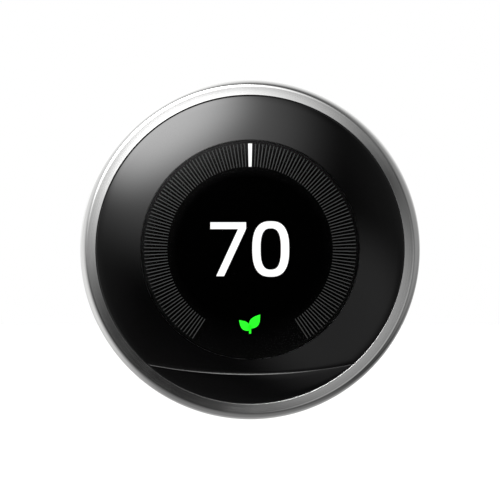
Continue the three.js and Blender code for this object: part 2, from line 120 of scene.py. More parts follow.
def polar_surface(
    name, angles, rows, materials, loop=True, closed=True, row_slots=None, turn=None
):
    """A closed skin swept round the z axis.

    rows are (radius, z) pairs, or functions from the angle to such a pair, in order along
    the section. loop joins the last row to the first, and closed joins the last angle to the
    first. row_slots gives the material slot of each band between two rows. turn moves the
    skin within the face frame.
    """
    bm = bmesh.new()
    grid = []
    for row in rows:
        at = row if callable(row) else (lambda angle, pair=row: pair)
        radius, z = at(angles[0])
        if radius == 0:
            centre = bm.verts.new((0, 0, z))
            grid.append([centre] * len(angles))
            continue
        ring = []
        for angle in angles:
            radius, z = at(angle)
            ring.append(bm.verts.new((radius * math.cos(angle), radius * math.sin(angle), z)))
        grid.append(ring)
    bands = len(rows) if loop else len(rows) - 1
    steps = len(angles) if closed else len(angles) - 1
    for i in range(bands):
        for j in range(steps):
            a, b = grid[i], grid[(i + 1) % len(rows)]
            k = (j + 1) % len(angles)
            corners = list(dict.fromkeys([a[j], a[k], b[k], b[j]]))
            if len(corners) > 2:
                face = bm.faces.new(corners)
                face.material_index = row_slots[i] if row_slots else 0
    if not closed:
        bm.faces.new([ring[0] for ring in grid])
        bm.faces.new([ring[-1] for ring in reversed(grid)])
    bmesh.ops.recalc_face_normals(bm, faces=bm.faces)
    mesh = mesh_from(bm, name)
    mesh.transform(FACE_TO_WORLD @ turn if turn else FACE_TO_WORLD)
    return finish_mesh(name, mesh, materials)


def full_turn(steps=ROUND):
    return [2 * math.pi * i / steps for i in range(steps)]


def arc(start, end, steps):
    return [start + (end - start) * i / steps for i in range(steps + 1)]


def lathe(name, outline, materials, steps=ROUND, turn=None):
    """A section of (radius, z) corners, turned right round and closed on itself."""
    solid = outline[0][0] == 0 and outline[-1][0] == 0
    return polar_surface(name, full_turn(steps), outline, materials, loop=not solid, turn=turn)


def fillet(centre, radius, start, end, steps):
    """Points (radius, z) of an arc from one angle to another, in degrees."""
    points = []
    for degrees in arc(start, end, steps):
        angle = math.radians(degrees)
        across, up = radius * math.cos(angle), radius * math.sin(angle)
        points.append((centre[0] + across, centre[1] + up))
    return points


def flat_piece(name, loops, back, front, materials):
    """A flat plate: the first loop of (x, y) points is its outline, and the rest are holes."""
    curve = bpy.data.curves.new(name, "CURVE")
    curve.dimensions = "2D"
    curve.fill_mode = "BOTH"
    for loop in loops:
        spline = curve.splines.new("POLY")
        spline.points.add(len(loop) - 1)
        for point, (x, y) in zip(spline.points, loop):
            point.co = (x, y, 0, 1)
        spline.use_cyclic_u = True
    curve.extrude = (front - back) / 2
    shape = bpy.data.objects.new(name + "_curve", curve)
    bpy.context.scene.collection.objects.link(shape)
    bpy.context.view_layer.update()
    graph = bpy.context.evaluated_depsgraph_get()
    mesh = bpy.data.meshes.new_from_object(shape.evaluated_get(graph))
    bpy.data.objects.remove(shape)
    bpy.data.curves.remove(curve)
    bm = bmesh.new()
    bm.from_mesh(mesh)
    bmesh.ops.remove_doubles(bm, verts=bm.verts, dist=SAME_POINT)
    bmesh.ops.recalc_face_normals(bm, faces=bm.faces)
    bm.to_mesh(mesh)
    bm.free()
    mesh.transform(Matrix.Translation((0, 0, (front + back) / 2)))
    mesh.transform(FACE_TO_WORLD)
    mesh.name = name
    return finish_mesh(name, mesh, materials)


def attach(piece, body, slot, *replaced):
    """The piece moves with that body and takes the place of CAD nodes. The slot is not used."""
    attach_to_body(piece, body)
    if replaced:
        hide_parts(*replaced)


# ------------------------------------------------------------------ building materials


def add_node(tree, kind, inputs=None, **settings):
    """A new node. Each input is a value, or an output socket to link."""
    node = tree.nodes.new(kind)
    for key, value in settings.items():
        setattr(node, key, value)
    for key, value in (inputs or {}).items():
        if isinstance(value, bpy.types.NodeSocket):
            tree.links.new(value, node.inputs[key])
        else:
            node.inputs[key].default_value = value
    return node


SOCKETS = {
    "alpha": "Alpha",
    "anisotropic": "Anisotropic",
    "ior": "IOR",
    "specular": "Specular IOR Level",
}


def new_material(name, colour, roughness, metallic=0.0, **sockets):
    """A material with one Principled shader, whose other sockets are given by name."""
    material = bpy.data.materials.new(name)
    material.use_nodes = True
    tree = material.node_tree
    shader = tree.nodes["Principled BSDF"]
    shader.inputs["Base Color"].default_value = (*colour, 1)
    shader.inputs["Roughness"].default_value = roughness
    shader.inputs["Metallic"].default_value = metallic
    for key, value in sockets.items():
        shader.inputs[SOCKETS[key]].default_value = value
    return material, tree, shader


def place(tree):
    """The point on the piece, in metres."""
    return add_node(tree, "ShaderNodeTexCoord").outputs["Object"]


def place_along_axes(tree):
    """The same point as x, y and z."""
    return add_node(tree, "ShaderNodeSeparateXYZ", {"Vector": place(tree)}).outputs


def noise(tree, vector, scale, detail=2.0, roughness=0.5):
    inputs = {"Vector": vector, "Scale": scale, "Detail": detail, "Roughness": roughness}
    return add_node(tree, "ShaderNodeTexNoise", inputs).outputs["Fac"]


def remap(tree, value, low, high, from_low=0.3, from_high=0.7):
    """The value on a new scale, clamped. The old scale is that of a noise, unless it is given."""
    inputs = {
        "Value": value,
        "From Min": from_low,
        "From Max": from_high,
        "To Min": low,
        "To Max": high,
    }
    return add_node(tree, "ShaderNodeMapRange", inputs).outputs["Result"]


def blend_colours(tree, factor, first, second):
    """The first colour where the factor is 0, and the second where it is 1."""
    inputs = {"Factor": factor}
    for index, colour in ((6, first), (7, second)):
        inputs[index] = colour if isinstance(colour, bpy.types.NodeSocket) else (*colour, 1)
    return add_node(tree, "ShaderNodeMix", inputs, data_type="RGBA").outputs[2]


def maths(tree, operation, first, second=0.0):
    inputs = {0: first, 1: second}
    return add_node(tree, "ShaderNodeMath", inputs, operation=operation).outputs["Value"]


def off_axis(tree, x, z):
    """The distance from the axis that the ring turns round."""
    squares = maths(tree, "ADD", maths(tree, "MULTIPLY", x, x), maths(tree, "MULTIPLY", z, z))
    return maths(tree, "SQRT", squares)


def bump(tree, shader, height, depth_mm, strength=1.0):
    inputs = {"Height": height, "Distance": depth_mm * MM, "Strength": strength}
    normal = add_node(tree, "ShaderNodeBump", inputs).outputs["Normal"]
    tree.links.new(normal, shader.inputs["Normal"])


def shade(colour, by):
    return tuple(min(1.0, c * by) for c in colour)


def moulded_plastic(name, colour, roughness=0.5, grain_mm=0.35, depth_mm=0.012):
    """Injection-moulded plastic: a fine spark-eroded grain, and slow drifts of shade and gloss."""
    material, tree, shader = new_material(name, colour, roughness)
    point = place(tree)
    drift = noise(tree, point, 60, 3)
    grain = noise(tree, point, 1000 / grain_mm, 3, 0.6)
    tint = blend_colours(tree, remap(tree, drift, 0, 1), shade(colour, 0.93), shade(colour, 1.05))
    speck = blend_colours(tree, remap(tree, grain, 0, 0.16, 0.45, 0.8), tint, shade(colour, 0.7))
    tree.links.new(speck, shader.inputs["Base Color"])
    matt = remap(tree, grain, roughness - 0.04, roughness + 0.06)
    worn = maths(tree, "ADD", remap(tree, drift, -0.05, 0.05), matt)
    tree.links.new(worn, shader.inputs["Roughness"])
    bump(tree, shader, grain, depth_mm, 0.6)
    return material


def sheet_metal(name, colour, roughness=0.32, along="x"):
    """Rolled or plated sheet: fine lines one way, with clouds of dullness."""
    material, tree, shader = new_material(name, colour, roughness, 1.0)
    point = place(tree)
    stretch = {"x": (0.04, 1, 1), "z": (1, 1, 0.04)}[along]
    inputs = {0: point, 1: stretch}
    lined = add_node(tree, "ShaderNodeVectorMath", inputs, operation="MULTIPLY").outputs[0]
    line_mm = 0.08
    lines = noise(tree, lined, 1000 / line_mm, 2, 0.6)
    clouds = noise(tree, point, 180, 4, 0.6)
    dark, light = shade(colour, 0.88), shade(colour, 1.04)
    tint = blend_colours(tree, remap(tree, clouds, 0, 1), dark, light)
    tree.links.new(tint, shader.inputs["Base Color"])
    lined_gloss = remap(tree, lines, roughness - 0.06, roughness + 0.08)
    dull = maths(tree, "ADD", remap(tree, clouds, -0.06, 0.08), lined_gloss)
    tree.links.new(dull, shader.inputs["Roughness"])
    bump(tree, shader, lines, 0.004, 0.5)
    return material


def circuit_board(name, mask, track):
    """Solder mask over copper: tracks, gilt pads, and fibre weave in the gloss."""
    material, tree, shader = new_material(name, mask, 0.35)
    point = place(tree)
    inputs = {"Vector": point, "Scale": 420.0, "Randomness": 1.0}
    cell = add_node(tree, "ShaderNodeTexVoronoi", inputs, distance="CHEBYCHEV")
    border = add_node(tree, "ShaderNodeTexVoronoi", inputs, feature="DISTANCE_TO_EDGE")
    tracks = remap(tree, border.outputs["Distance"], 1, 0, 0.03, 0.07)
    pads = remap(tree, cell.outputs["Distance"], 1, 0, 0.10, 0.14)
    weave = noise(tree, point, 2500, 2)
    copper = blend_colours(tree, tracks, mask, track)
    gold = blend_colours(tree, pads, copper, (0.62, 0.42, 0.13))
    tree.links.new(gold, shader.inputs["Base Color"])
    tree.links.new(remap(tree, weave, 0.28, 0.46), shader.inputs["Roughness"])
    raised, woven = maths(tree, "MULTIPLY", tracks, 0.7), maths(tree, "MULTIPLY", weave, 0.2)
    bump(tree, shader, maths(tree, "ADD", raised, woven), 0.03, 0.7)
    return material


def small_part(name, colour, roughness=0.45, **sockets):
    """The moulded body of a chip or sensor: fine matt grain with a few pale scuffs."""
    material, tree, shader = new_material(name, colour, roughness, **sockets)
    point = place(tree)
    grain = noise(tree, point, 6000, 2)
    scuffs = noise(tree, point, 500, 5, 0.7)
    tint = blend_colours(tree, remap(tree, scuffs, 0, 0.5, 0.6, 0.75), colour, shade(colour, 2.2))
    tree.links.new(tint, shader.inputs["Base Color"])
    matt = remap(tree, grain, roughness - 0.07, roughness + 0.07)
    tree.links.new(matt, shader.inputs["Roughness"])
    bump(tree, shader, grain, 0.006, 0.5)
    return material


def lit_film(name, colour, strength):
    """Part of the picture on the display: light through a fine grid of picture elements."""
    material, tree, shader = new_material(name, (0.0, 0.0, 0.0), 0.4)
    x, _, z = place_along_axes(tree)
    element_mm = 0.11
    pitch = 2 * math.pi / (element_mm * MM)
    across = maths(tree, "SINE", maths(tree, "MULTIPLY", x, pitch))
    up = maths(tree, "SINE", maths(tree, "MULTIPLY", z, pitch))
    lowest = maths(tree, "MINIMUM", across, up)
    grid = remap(tree, lowest, 0.93 * strength, 1.03 * strength, -1, 0)
    shader.inputs["Emission Color"].default_value = (*colour, 1)
    tree.links.new(grid, shader.inputs["Emission Strength"])
    return material


# ------------------------------------------------------------------ materials


def brushed_ring_steel():
    """Stainless steel, polished and then brushed round its axis."""
    steel = (0.74, 0.74, 0.735)
    material, tree, shader = new_material("brushed_ring_steel", steel, 0.12, 1.0, anisotropic=0.6)
    shader.inputs["Anisotropic Rotation"].default_value = 0.25
    tangent = add_node(tree, "ShaderNodeTangent", direction_type="RADIAL", axis="Y").outputs[0]
    tree.links.new(tangent, shader.inputs["Tangent"])
    x, y, z = place_along_axes(tree)
    radius = off_axis(tree, x, z)
    # Brush lines: quick changes across the metal, slow ones round the ring.
    across = maths(tree, "MULTIPLY", maths(tree, "ADD", radius, y), 9000)
    round_x = maths(tree, "MULTIPLY", maths(tree, "DIVIDE", x, radius), 2.5)
    round_z = maths(tree, "MULTIPLY", maths(tree, "DIVIDE", z, radius), 2.5)
    inputs = {"X": round_x, "Y": round_z, "Z": across}
    brushed = add_node(tree, "ShaderNodeCombineXYZ", inputs).outputs["Vector"]
    lines = noise(tree, brushed, 1.0, 3, 0.6)
    prints = noise(tree, place(tree), 90, 3)
    dark, light = (0.69, 0.69, 0.685), (0.78, 0.78, 0.775)
    tint = blend_colours(tree, remap(tree, lines, 0, 1), dark, light)
    tree.links.new(tint, shader.inputs["Base Color"])
    handled = remap(tree, prints, 0.0, 0.04, 0.5, 0.7)
    dull = maths(tree, "ADD", remap(tree, lines, 0.09, 0.14), handled)
    tree.links.new(dull, shader.inputs["Roughness"])
    bump(tree, shader, lines, 0.0015, 0.35)
    return material


def lens_black():
    """The black print behind the lens, seen through polished acrylic with faint smears."""
    material, tree, shader = new_material("lens_black", (0.0004, 0.0004, 0.0004), 0.05, ior=1.5)
    point = place(tree)
    smears = noise(tree, point, 130, 4, 0.6)
    tree.links.new(remap(tree, smears, 0.02, 0.045), shader.inputs["Roughness"])
    depth = noise(tree, point, 30, 2)
    dark, light = (0.0002, 0.0002, 0.0003), (0.0006, 0.0006, 0.0006)
    tint = blend_colours(tree, remap(tree, depth, 0, 1), dark, light)
    tree.links.new(tint, shader.inputs["Base Color"])
    return material


def window_edge():
    """The window's rounded edge along the seam, its colour lightened into a painted highlight,
    most of all in its middle.
    """
    material, tree, shader = new_material("window_edge", (0.1, 0.1, 0.1), 0.22, ior=1.5)
    x, _, _ = place_along_axes(tree)
    # Painted highlight: the edge's grey is lightest near the middle of the seam and darker towards
    # its ends.
    middle_mm = 0.6
    off_middle = maths(tree, "ABSOLUTE", maths(tree, "ADD", x, -middle_mm * MM))
    painted_highlight = remap(tree, off_middle, 1.0, 0.0, 5 * MM, 17 * MM)
    flecks = noise(tree, place(tree), 900, 3)
    painted_highlight = maths(tree, "MULTIPLY", painted_highlight, remap(tree, flecks, 0.85, 1.1))
    tint = blend_colours(tree, painted_highlight, (0.02, 0.02, 0.02), (0.14, 0.14, 0.138))
    tree.links.new(tint, shader.inputs["Base Color"])
    tree.links.new(remap(tree, flecks, 0.18, 0.28), shader.inputs["Roughness"])
    return material


def lens_clear():
    """The lens's coated middle, which mirrors nothing but a faint sheen towards its rim."""
    clear = (0.0, 0.0, 0.0)
    material, tree, shader = new_material("lens_clear", clear, 0.21, ior=2.3, specular=1.0)
    x, _, z = place_along_axes(tree)
    radius = off_axis(tree, x, z)
    sheen = remap(tree, radius, 0.0003, 0.02, 18 * MM, DISPLAY_RADIUS * MM)
    tree.links.new(sheen, shader.inputs["Alpha"])
    smears = noise(tree, place(tree), 130, 4, 0.6)
    tree.links.new(remap(tree, smears, 0.19, 0.23), shader.inputs["Roughness"])
    return material


def clear_green(name, colour, alpha, roughness=0.04):
    """Clear moulded acrylic, or the spirit inside it."""
    material, tree, shader = new_material(name, colour, roughness, alpha=alpha, ior=1.48)
    flow = noise(tree, place(tree), 700, 3)
    tint = blend_colours(tree, remap(tree, flow, 0, 1), shade(colour, 0.85), shade(colour, 1.1))
    tree.links.new(tint, shader.inputs["Base Color"])
    return material


def flex_film():
    """Polyimide film with copper tracks running along it."""
    amber, copper = (0.55, 0.27, 0.07), (0.75, 0.42, 0.2)
    material, tree, shader = new_material("flex_film", amber, 0.3)
    x, _, _ = place_along_axes(tree)
    track_pitch_mm = 0.8
    stripes = maths(tree, "SINE", maths(tree, "MULTIPLY", x, 2 * math.pi / (track_pitch_mm * MM)))
    tracks = remap(tree, stripes, 0, 1, 0.0, 0.2)
    tree.links.new(blend_colours(tree, tracks, amber, copper), shader.inputs["Base Color"])
    tree.links.new(remap(tree, tracks, 0.34, 0.24, 0, 1), shader.inputs["Roughness"])
    bump(tree, shader, tracks, 0.02, 0.6)
    return material


def foil_pouch():
    """The creased aluminium pouch of a flat cell."""
    material, tree, shader = new_material("foil_pouch", (0.55, 0.57, 0.6), 0.38, 0.85)
    creases = noise(tree, place(tree), 220, 5, 0.65)
    tree.links.new(remap(tree, creases, 0.3, 0.48), shader.inputs["Roughness"])
    tint = blend_colours(tree, remap(tree, creases, 0, 1), (0.5, 0.52, 0.55), (0.6, 0.62, 0.64))
    tree.links.new(tint, shader.inputs["Base Color"])
    bump(tree, shader, creases, 0.12, 0.5)
    return material


RING_STEEL = brushed_ring_steel()
LENS_BLACK = lens_black()
LENS_CLEAR = lens_clear()
WINDOW_BLACK = lens_black()
WINDOW_BLACK.name = "window_black"
WINDOW_EDGE = window_edge()
SCREEN_BLACK = small_part("screen_black", (0.0002, 0.0002, 0.0002), 0.5, specular=0.0)
WHITE_LIGHT = lit_film("white_light", (1.0, 1.0, 1.0), 1.12)
GREY_LIGHT = lit_film("grey_light", (1.0, 1.0, 1.0), 0.021)
GREEN_LIGHT = lit_film("green_light", (0.0, 1.0, 0.0), 1.25)
BASE_WHITE = moulded_plastic("base_white", (0.60, 0.60, 0.585), 0.42)
BLOCK_GREY = moulded_plastic("block_grey", (0.30, 0.31, 0.32), 0.45)
TAB_PALE = moulded_plastic("tab_pale", (0.62, 0.64, 0.65), 0.38, 0.2)
HEAD_DARK = moulded_plastic("head_dark", (0.028, 0.029, 0.031), 0.46)
FRAME_DARK = moulded_plastic("frame_dark", (0.035, 0.036, 0.038), 0.5)
SOCKET_BLACK = moulded_plastic("socket_black", (0.018, 0.018, 0.019), 0.4, 0.15)
ACETAL = moulded_plastic("acetal", (0.75, 0.74, 0.70), 0.35, 0.5)
OPAL = moulded_plastic("opal", (0.80, 0.81, 0.80), 0.35, 0.25)
FOAM = moulded_plastic("foam", (0.012, 0.012, 0.012), 0.9, 0.6, 0.15)
ZINC = sheet_metal("zinc", (0.60, 0.60, 0.57), 0.34, "z")
TIN = sheet_metal("tin", (0.66, 0.67, 0.68), 0.28)
SPRING_METAL = sheet_metal("spring_metal", (0.48, 0.49, 0.50), 0.3)
GREEN_BOARD = circuit_board("green_board", (0.012, 0.085, 0.04), (0.03, 0.16, 0.07))
BLACK_BOARD = circuit_board("black_board", (0.006, 0.007, 0.007), (0.02, 0.022, 0.02))
CHIP = small_part("chip", (0.012, 0.012, 0.012))
SENSOR = small_part("sensor", (0.72, 0.72, 0.70), 0.35)
FLEX = flex_film()
FOIL = foil_pouch()
VIAL_CLEAR = clear_green("vial_clear", (0.80, 0.95, 0.45), 0.35)
VIAL_SPIRIT = clear_green("vial_spirit", (0.42, 0.85, 0.03), 0.85, 0.08)
VIAL_BUBBLE = clear_green("vial_bubble", (0.86, 0.97, 0.62), 0.9, 0.05)

# ------------------------------------------------------------------ control ring


def build_ring():
    """The ring's section, from its hole over the face and down the side, then up inside."""
    face_end = RING_RADIUS - RING_SHOULDER
    side_top = RING_FACE - FACE_TILT - RING_SHOULDER
    outline = [
        (RING_HOLE, 26.4),
        (RING_HOLE, 27.0),
        (RING_HOLE, RING_FACE - RING_LIP - 0.02),
    ]
    outline += fillet((RING_HOLE + RING_LIP, RING_FACE - RING_LIP), RING_LIP, 180, 90, 6)
    outline += [
        (RING_HOLE + RING_LIP + 0.03, RING_FACE - 0.002),
        (face_end - 0.12, side_top + RING_SHOULDER),
    ]
    outline += fillet((face_end, side_top), RING_SHOULDER, 90, 0, 20)
    outline += [
        (RING_RADIUS, 23.0),
        (RING_RADIUS, 20.0),
        (RING_RADIUS - 0.35, 14.7),
    ]
    outline += fillet((RING_RADIUS - 1.4, 9.3), 0.7, 0, -90, 6)
    outline += [
        (39.8, 8.6),
        (39.5, 8.7),
        (39.4, 9.0),
        (39.4, 17.5),
        (38.9, 17.9),
        (38.9, 19.2),
        (40.2, 19.2),
        (40.2, 26.4),
    ]
    return lathe("steel_ring", outline, [RING_STEEL])


attach(build_ring(), "ring", "control_ring", "control_ring")

# ------------------------------------------------------------------ lens and sensor window


def dome(radius):
    """How far the lens stands out from the wall at that distance from its middle."""
    return LENS_TOP - LENS_DROP * (radius / LENS_RADIUS) ** LENS_CURVE


def seam(angle, offset):
    """Where a ray from the middle at that angle meets the seam, moved outwards by offset."""
    middle = SEAM_LOWEST + SEAM_RADIUS
    reach = SEAM_RADIUS + offset
    inside = reach**2 - (middle * math.cos(angle)) ** 2
    return middle * math.sin(angle) + math.sqrt(inside)


def seam_corner(offset):
    """The angle below the horizontal at which the seam meets the edge of the lens."""
    middle = SEAM_LOWEST + SEAM_RADIUS
    reach = SEAM_RADIUS + offset
    sine = (LENS_RADIUS**2 + middle**2 - reach**2) / (2 * LENS_RADIUS * middle)
    return math.asin(sine)


def rounding(turn, radius):
    """How far in from the edge, and how far below the dome, a rounding is after that turn."""
    return radius * (1 - math.sin(turn)), radius * (1 - math.cos(turn))


def build_lens():
    """The lens: its dome, clear in the middle, and the flat hollow behind it for the display."""
    corner = seam_corner(-SEAM_HALF_GAP)
    corners = [corner, math.pi - corner]

    def clear_of_corners(angle):
        return all(abs(math.remainder(angle - c, 2 * math.pi)) > SAME_ANGLE for c in corners)

    angles = [angle for angle in full_turn() if clear_of_corners(angle)]
    angles = sorted(angles + [c % (2 * math.pi) for c in corners])

    def outer(angle):
        return min(LENS_RADIUS, seam(angle, -SEAM_HALF_GAP))

    def band(share):
        def at(angle):
            radius = RECESS_RADIUS + (outer(angle) - EDGE - RECESS_RADIUS) * share
            return radius, dome(radius)

        return at

    def rounded(turn):
        inset, drop = rounding(turn, EDGE)

        def at(angle):
            radius = outer(angle) - inset
            return radius, dome(radius) - drop

        return at

    clear_radii = (0, 2, 5, 8, 11, 14, 17, 20, 23, 25.5, DISPLAY_RADIUS)
    rows = [(radius, dome(radius)) for radius in clear_radii]
    rows += [band(share) for share in (0, 0.17, 0.34, 0.5, 0.67, 0.84, 1.0)]
    rows += [rounded(turn) for turn in EDGE_TURNS]
    rows += [
        lambda angle: (outer(angle), LENS_SEAT),
        (RECESS_RADIUS, LENS_SEAT),
        (RECESS_RADIUS, RECESS_TOP),
        (DISPLAY_RADIUS, RECESS_TOP),
        (0, RECESS_TOP),
    ]
    clear_bands = [*range(len(clear_radii) - 1), len(rows) - 2]
    slots = [1 if i in clear_bands else 0 for i in range(len(rows))]
    materials = [LENS_BLACK, LENS_CLEAR]
    return polar_surface("domed_lens", angles, rows, materials, loop=False, row_slots=slots)


def below_seam(offset, inset, steps):
    """Angles from one end of the seam to the other, below it, inset at both ends."""
    corner = seam_corner(offset)
    return arc(math.pi - corner + inset, 2 * math.pi + corner - inset, steps)


def build_window():
    """The window of the sensors: a slice of the lens's dome below the seam."""
    angles = below_seam(SEAM_HALF_GAP, inset=0.012, steps=128)

    def inner(angle):
        return seam(angle, SEAM_HALF_GAP)

    def edge_radii(angle):
        """The two roundings, which shrink where the window is thin."""
        width = LENS_RADIUS - inner(angle)
        return min(SEAM_EDGE, width * 0.5), min(EDGE, width * 0.3)

    def across(share):
        def at(angle):
            seam_edge, rim_edge = edge_radii(angle)
            low, high = inner(angle) + seam_edge, LENS_RADIUS - rim_edge
            radius = low + (high - low) * share
            return radius, dome(radius)

        return at

    def at_seam(turn):
        def at(angle):
            inset, drop = rounding(turn, edge_radii(angle)[0])
            radius = inner(angle) + inset
            return radius, dome(radius) - drop

        return at

    def at_rim(turn):
        def at(angle):
            inset, drop = rounding(turn, edge_radii(angle)[1])
            radius = LENS_RADIUS - inset
            return radius, dome(radius) - drop

        return at

    rows = [lambda angle: (inner(angle), LENS_SEAT)]
    rows += [at_seam(turn) for turn in reversed(EDGE_TURNS)]
    rows += [across(share) for share in (0, 0.25, 0.5, 0.75, 1.0)]
    rows += [at_rim(turn) for turn in EDGE_TURNS]
    rows += [(LENS_RADIUS, LENS_SEAT)]
    slots = [1 if 0 < i <= len(EDGE_TURNS) else 0 for i in range(len(rows))]
    materials = [WINDOW_BLACK, WINDOW_EDGE]
    return polar_surface("lower_window", angles, rows, materials, closed=False, row_slots=slots)


def build_seam_seal():
    """A strip of black foam behind the seam, which keeps light and dust out."""
    half_width, back, front = 0.9, 26.98, 27.17
    outermost = LENS_RADIUS - 0.4

    def corner(offset, z):
        return lambda angle: (min(seam(angle, offset), outermost), z)

    rows = [corner(-half_width, back), corner(half_width, back)]
    rows += [corner(half_width, front), corner(-half_width, front)]
    angles = below_seam(-1.0, inset=0.03, steps=64)
    return polar_surface("seam_seal", angles, rows, [FOAM], closed=False)


attach(build_lens(), "front", "front_lens", "front_lens")
attach(build_window(), "front", "sensor_window", "sensor_window")
attach(build_seam_seal(), "front", "lens_gasket")

# ------------------------------------------------------------------ the picture on the display

SCREEN_OUTLINE = [
    (0, 26.9),
    (26.8, 26.9),
    (27.0, 27.1),
    (27.0, 27.7),
    (26.8, SCREEN_FRONT),
    (0, SCREEN_FRONT),
]
screen = lathe("screen", SCREEN_OUTLINE, [SCREEN_BLACK], steps=128)
attach(screen, "front", "display_panel", "display_panel")

MARK_BACK = SCREEN_FRONT + 0.03
MARK_FRONT = SCREEN_FRONT + 0.09
TICK_RADII = (20.4, 26.1)
TICK_STEP = 2  # degrees
TICK_START = 3  # degrees to either side of the top, where the pointer is
TICK_END = 147
TICK_WIDTH = 0.2
POINTER_WIDTHS = (0.72, 0.99)  # at its inner and outer end


def radial_bar(angle, radii, widths):
    """Four corners of a bar that points at the middle, so many degrees clockwise from the top."""
    a = math.radians(90 - angle)
    out = Vector((math.cos(a), math.sin(a)))
    side = Vector((-out.y, out.x))
    corners = []
    for end, sign in ((0, 1), (1, 1), (1, -1), (0, -1)):
        point = out * radii[end] + side * (widths[end] / 2 * sign)
        corners.append((point.x, point.y))
    return corners


def build_ticks():
    """All the tick marks, to both sides of the top, as one thin piece."""
    bm = bmesh.new()
    one_side = range(TICK_START, TICK_END + 1, TICK_STEP)
    for angle in [-a for a in one_side] + list(one_side):
        corners = radial_bar(angle, TICK_RADII, (TICK_WIDTH, TICK_WIDTH))
        low = [bm.verts.new((x, y, MARK_BACK)) for x, y in corners]
        high = [bm.verts.new((x, y, MARK_FRONT)) for x, y in corners]
        bm.faces.new(low)
        bm.faces.new(high)
        for j in range(4):
            k = (j + 1) % 4
            bm.faces.new([low[j], low[k], high[k], high[j]])
    bmesh.ops.recalc_face_normals(bm, faces=bm.faces)
    mesh = mesh_from(bm, "tick_marks")
    mesh.transform(FACE_TO_WORLD)
    return finish_mesh("tick_marks", mesh, [GREY_LIGHT])


def superellipse(centre, half_width, half_height, power, steps=96):
    """A rounded oval: power 2 is an ellipse, and more is squarer."""
    points = []
    for i in range(steps):
        a = 2 * math.pi * i / steps
        c, s = math.cos(a), math.sin(a)
        x = centre[0] + half_width * math.copysign(abs(c) ** (2 / power), c)
        y = centre[1] + half_height * math.copysign(abs(s) ** (2 / power), s)
        points.append((x, y))
    return points


SEVEN = [
    (-9.79, 6.71),
    (-0.98, 6.71),
    (-0.98, 5.07),
    (-6.40, -6.56),
    (-8.34, -6.56),
    (-2.96, 5.03),
    (-9.79, 5.03),
]
ZERO_CENTRE = (5.09, 0.13)
ZERO = [
    superellipse(ZERO_CENTRE, 4.54, 6.83, 2.6),
    superellipse(ZERO_CENTRE, 2.50, 5.08, 2.7),
]


def leaf(base, tip, bulge, steps=14):
    """A pointed leaf between two points, as one loop."""
    base, tip = Vector(base), Vector(tip)
    along = tip - base
    side = Vector((-along.y, along.x)).normalized()
    edge = []
    for sign in (1, -1):
        for i in range(steps):
            t = i / steps if sign > 0 else 1 - i / steps
            width = math.sin(math.pi * t ** 0.8) * bulge
            edge.append(base + along * t + side * (width * sign))
    return [(p.x, p.y) for p in edge]


STEM = [(-0.28, -20.7), (0.28, -20.7), (0.24, -18.6), (-0.24, -18.6)]
RIGHT_LEAF = leaf((0.0, -19.4), (2.5, -16.0), 1.16)
LEFT_LEAF = leaf((-0.1, -19.9), (-2.7, -17.4), 1.02)
POINTER = radial_bar(0, TICK_RADII, POINTER_WIDTHS)


def build_picture():
    """The tick marks, the pointer, the number and the sprout, as thin lit pieces."""
    attach(build_ticks(), "front", "display_panel")
    for name, loops, light in (
        ("pointer_mark", [POINTER], WHITE_LIGHT),
        ("digit_seven", [SEVEN], WHITE_LIGHT),
        ("digit_zero", ZERO, WHITE_LIGHT),
        ("sprout_stem", [STEM], GREEN_LIGHT),
        ("sprout_leaf_right", [RIGHT_LEAF], GREEN_LIGHT),
        ("sprout_leaf_left", [LEFT_LEAF], GREEN_LIGHT),
    ):
        mark = flat_piece(name, loops, MARK_BACK, MARK_FRONT, [light])
        attach(mark, "front", "display_panel")


build_picture()

# ------------------------------------------------------------------ spirit level

VIAL_MIDDLE = (0, 19.7, 7.6)
VIAL_HALF = 7.4  # half its length
VIAL_RADIUS = 2.2
VIAL_BORE = 1.7  # radius of the space for the spirit
VIAL_ROUNDING = 0.4
BUBBLE_HALF = 2.1
BUBBLE_RADIUS = 0.86
LINE_PLACE = 2.55  # of the middle of a line, from the middle of the tube


def build_vial():
    """A clear tube along x, with green spirit, a bubble and two black lines."""
    turn = Matrix.Translation(VIAL_MIDDLE) @ Matrix.Rotation(math.radians(90), 4, "Y")
    half, radius, bore, soft = VIAL_HALF, VIAL_RADIUS, VIAL_BORE, VIAL_ROUNDING
    tube = [(0, -half)] + fillet((radius - soft, soft - half), soft, 270, 360, 5)
    tube += fillet((radius - soft, half - soft), soft, 0, 90, 5) + [(0, half)]
    spirit = [(0, 1.0 - half), (bore - 0.5, 1.0 - half)]
    spirit += [(bore - 0.25, 1.3 - half), (bore - 0.02, -2.4)]
    spirit += [(across, -along) for across, along in reversed(spirit)]
    bubble = [(0, -BUBBLE_HALF)]
    for i in range(1, 12):
        angle = math.pi * i / 12
        bubble.append((BUBBLE_RADIUS * math.sin(angle), BUBBLE_HALF * -math.cos(angle)))
    bubble.append((0, BUBBLE_HALF))
    raised = Matrix.Translation((0, 0.35, 0.92)) @ turn
    parts = [
        lathe("vial_tube", tube, [VIAL_CLEAR], steps=SMALL_ROUND, turn=turn),
        lathe("vial_filling", spirit, [VIAL_SPIRIT], steps=SMALL_ROUND, turn=turn),
        lathe("vial_bubble", bubble, [VIAL_BUBBLE], steps=32, turn=raised),
    ]
    for side, x in (("left", -LINE_PLACE), ("right", LINE_PLACE)):
        sunk, proud = radius - 0.05, radius + 0.04
        band = [(sunk, x - 0.14), (proud, x - 0.12), (proud, x + 0.12), (sunk, x + 0.14)]
        line = lathe("vial_line_" + side, band, [CHIP], steps=SMALL_ROUND, turn=turn)
        parts.append(line)
    for part in parts:
        attach(part, "base", "level_vial", "level_vial")


build_vial()

# ------------------------------------------------------------------ CAD nodes that stay

